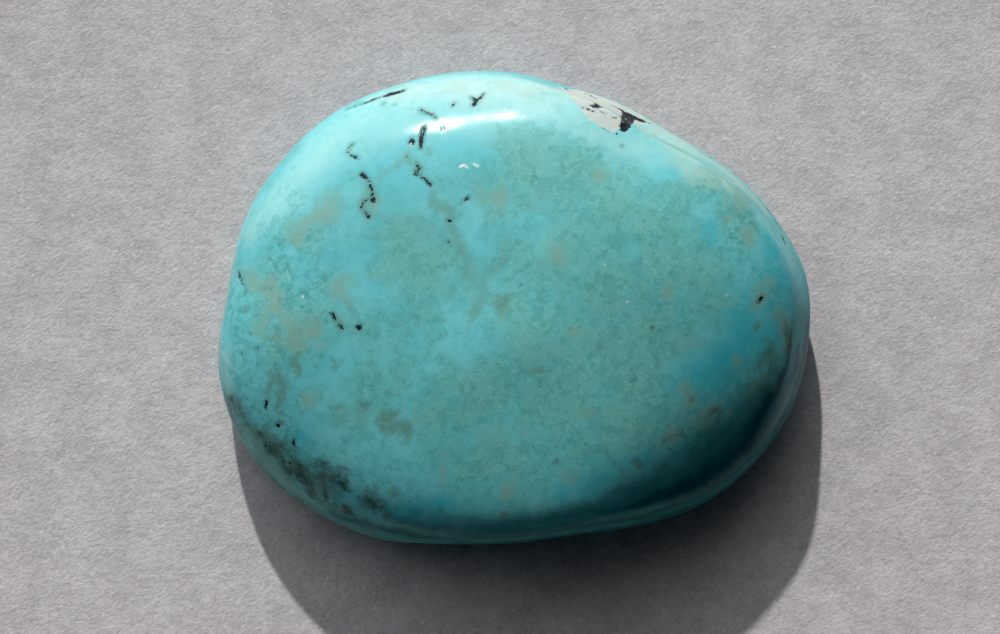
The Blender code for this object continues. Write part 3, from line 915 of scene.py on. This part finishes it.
def turquoise_material():
    """Polished turquoise: blue and green mottling, a fine net, tan patches and black specks."""
    material = bpy.data.materials.new("turquoise_polished")
    nodes = Nodes(material)
    tones = stone_tones(nodes)
    place = tones["place"]
    colour, net = body_colour(nodes, tones)
    colour = patch_colour(nodes, tones, colour)
    host = rock_mask(nodes, tones)
    rock_tone = nodes.step(nodes.noise(place, HOST_TONE_LENGTH, detail=3.0), 0.45, 0.6)
    colour = nodes.mix(host, colour, nodes.mix(rock_tone, HOST_CREAM, HOST_PINK))
    halo = nodes.step(nodes.field("specks"), 0.1, 0.5, top=HALO_STRENGTH)
    colour = nodes.mix(nodes.times(halo, tones["blot"]), colour, OLIVE)
    ink = ink_mask(nodes, tones)
    colour = nodes.mix(ink, colour, INK)
    fleck = nodes.step(nodes.cells(place, FLECK_SPACING), 0.025, 0.05, top=0.0, bottom=FLECK_STRENGTH)
    colour = nodes.mix(nodes.times(fleck, net), colour, GLINT_WHITE)
    colour = nodes.mix(nodes.step(nodes.field("glints"), 0.30, 0.62), colour, GLINT_WHITE)

    shader = nodes.shader
    nodes.put(shader.inputs["Base Color"], colour)
    dull = nodes.math("MAXIMUM", host, ink)
    rough = nodes.math("MULTIPLY_ADD", tones["blot"], BLOT_ROUGHNESS, BODY_ROUGHNESS)
    rough = nodes.math("MULTIPLY_ADD", net, NET_ROUGHNESS, rough)
    nodes.put(shader.inputs["Roughness"], nodes.math("MULTIPLY_ADD", dull, DULL_ROUGHNESS, rough))
    skin = nodes.math("ADD", tones["grain"], tones["wisp"])
    nodes.put(shader.inputs["Normal"], nodes.bump(skin, SKIN_BUMP, SKIN_BUMP_DEPTH * MM))
    shader.inputs["Specular IOR Level"].default_value = BODY_GLOSS
    shader.inputs["Coat Weight"].default_value = COAT
    shader.inputs["Coat Roughness"].default_value = COAT_ROUGHNESS
    return material


def floor_material():
    """Rough drawing paper: short fibres lying one way, with a few light specks."""
    material = bpy.data.materials.new("paper_floor")
    nodes = Nodes(material)
    place = nodes.place()
    lie = nodes.tree.nodes.new("ShaderNodeMapping")
    lie.vector_type = "TEXTURE"
    nodes.put(lie.inputs["Vector"], place)
    lie.inputs["Rotation"].default_value = (0.0, 0.0, math.radians(FIBRE_ANGLE))
    lie.inputs["Scale"].default_value = (FIBRE_STRETCH, 1.0, 1.0)
    along = lie.outputs["Vector"]
    fibres = nodes.noise(along, FIBRE_WIDTH, detail=3.0, roughness=0.65, distortion=0.3)
    lumps = nodes.noise(place, PAPER_LUMP_LENGTH, detail=5.0, roughness=0.7)
    clouds = nodes.noise(place, PAPER_CLOUD_LENGTH, detail=4.0)
    tone = nodes.math("MULTIPLY_ADD", clouds, PAPER_CLOUD_TONE, fibres)
    tone = nodes.math("MULTIPLY_ADD", lumps, PAPER_LUMP_TONE, tone)
    colour = nodes.mix(nodes.step(tone, 0.75, 1.50), PAPER_DARK, PAPER_LIGHT)
    crooked = nodes.bent(along, PAPER_SPECK_CROOK_LENGTH, PAPER_SPECK_CROOK_REACH)
    dots = nodes.cells(crooked, PAPER_SPECK_SPACING)
    specks = nodes.step(dots, 0.06, 0.14, top=0.0, bottom=PAPER_SPECK_STRENGTH)
    colour = nodes.mix(specks, colour, PAPER_SPECK)
    nodes.put(nodes.shader.inputs["Base Color"], colour)
    height = nodes.math("MULTIPLY_ADD", lumps, PAPER_LUMP_HEIGHT, fibres)
    nodes.put(nodes.shader.inputs["Normal"], nodes.bump(height, PAPER_BUMP, PAPER_BUMP_DEPTH * MM))
    nodes.shader.inputs["Roughness"].default_value = PAPER_ROUGHNESS
    nodes.shader.inputs["Specular IOR Level"].default_value = PAPER_GLOSS
    return material


def add_floor():
    """One flat square of paper under the stone."""
    half = FLOOR_HALF_WIDTH * MM
    mesh = bpy.data.meshes.new("floor")
    corners = [(-half, -half, 0.0), (half, -half, 0.0), (half, half, 0.0), (-half, half, 0.0)]
    mesh.from_pydata(corners, [], [(0, 1, 2, 3)])
    mesh.materials.append(floor_material())
    floor = bpy.data.objects.new("floor", mesh)
    bpy.context.scene.collection.objects.link(floor)


def add_camera():
    """A long lens that looks steeply down at the stone."""
    data = bpy.data.cameras.new("camera")
    data.lens = LENS
    data.sensor_width = SENSOR
    data.clip_start = CLIP_START * MM
    data.clip_end = CLIP_END * MM
    camera = bpy.data.objects.new("camera", data)
    camera.location = Vector(camera_place()[0]) * MM
    camera.rotation_euler = (math.pi / 2.0 - math.radians(CAMERA_ELEVATION), 0.0, 0.0)
    bpy.context.scene.collection.objects.link(camera)
    bpy.context.scene.camera = camera


def add_lights():
    """A small hard lamp from behind the stone, and the room around it."""
    data = bpy.data.lights.new("key_light", "SUN")
    data.energy = SUN_STRENGTH
    data.angle = math.radians(SUN_ANGLE)
    data.color = SUN_COLOUR
    lamp = bpy.data.objects.new("key_light", data)
    azimuth = math.radians(SUN_AZIMUTH)
    rise = math.radians(SUN_ELEVATION)
    level = math.cos(rise)
    to_sun = Vector((level * math.cos(azimuth), level * math.sin(azimuth), math.sin(rise)))
    lamp.rotation_euler = to_sun.to_track_quat("Z", "Y").to_euler()
    bpy.context.scene.collection.objects.link(lamp)
    add_sky()


def add_sky():
    """A soft room: bright overhead and behind the stone's far side, dim in front."""
    world = bpy.data.worlds.new("soft_room")
    bpy.context.scene.world = world
    world.use_nodes = True
    nodes = world.node_tree.nodes
    links = world.node_tree.links
    background = nodes["Background"]
    background.inputs["Color"].default_value = SKY_COLOUR
    place = nodes.new("ShaderNodeTexCoord")
    facing = nodes.new("ShaderNodeVectorMath")
    facing.operation = "DOT_PRODUCT"
    facing.inputs[1].default_value = Vector(SKY_TOWARD).normalized()
    links.new(place.outputs["Generated"], facing.inputs[0])
    ramp = nodes.new("ShaderNodeMapRange")
    ramp.interpolation_type = "SMOOTHSTEP"
    ramp.inputs["From Min"].default_value = SKY_EDGE
    ramp.inputs["From Max"].default_value = 1.0
    ramp.inputs["To Min"].default_value = SKY_DIM
    ramp.inputs["To Max"].default_value = SKY_BRIGHT
    links.new(facing.outputs["Value"], ramp.inputs["Value"])
    links.new(ramp.outputs["Result"], background.inputs["Strength"])


def set_tones():
    """Plain tones with slightly deepened blacks."""
    view = bpy.context.scene.view_settings
    view.view_transform = "Standard"
    view.use_curve_mapping = True
    view.curve_mapping.black_level = (BLACK_LEVEL, BLACK_LEVEL, BLACK_LEVEL)
    view.curve_mapping.update()


stone = build_stone()
stone.data.materials.append(turquoise_material())
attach(stone, "root")
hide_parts("turquoise_nugget")
add_floor()
add_camera()
add_lights()
set_tones()
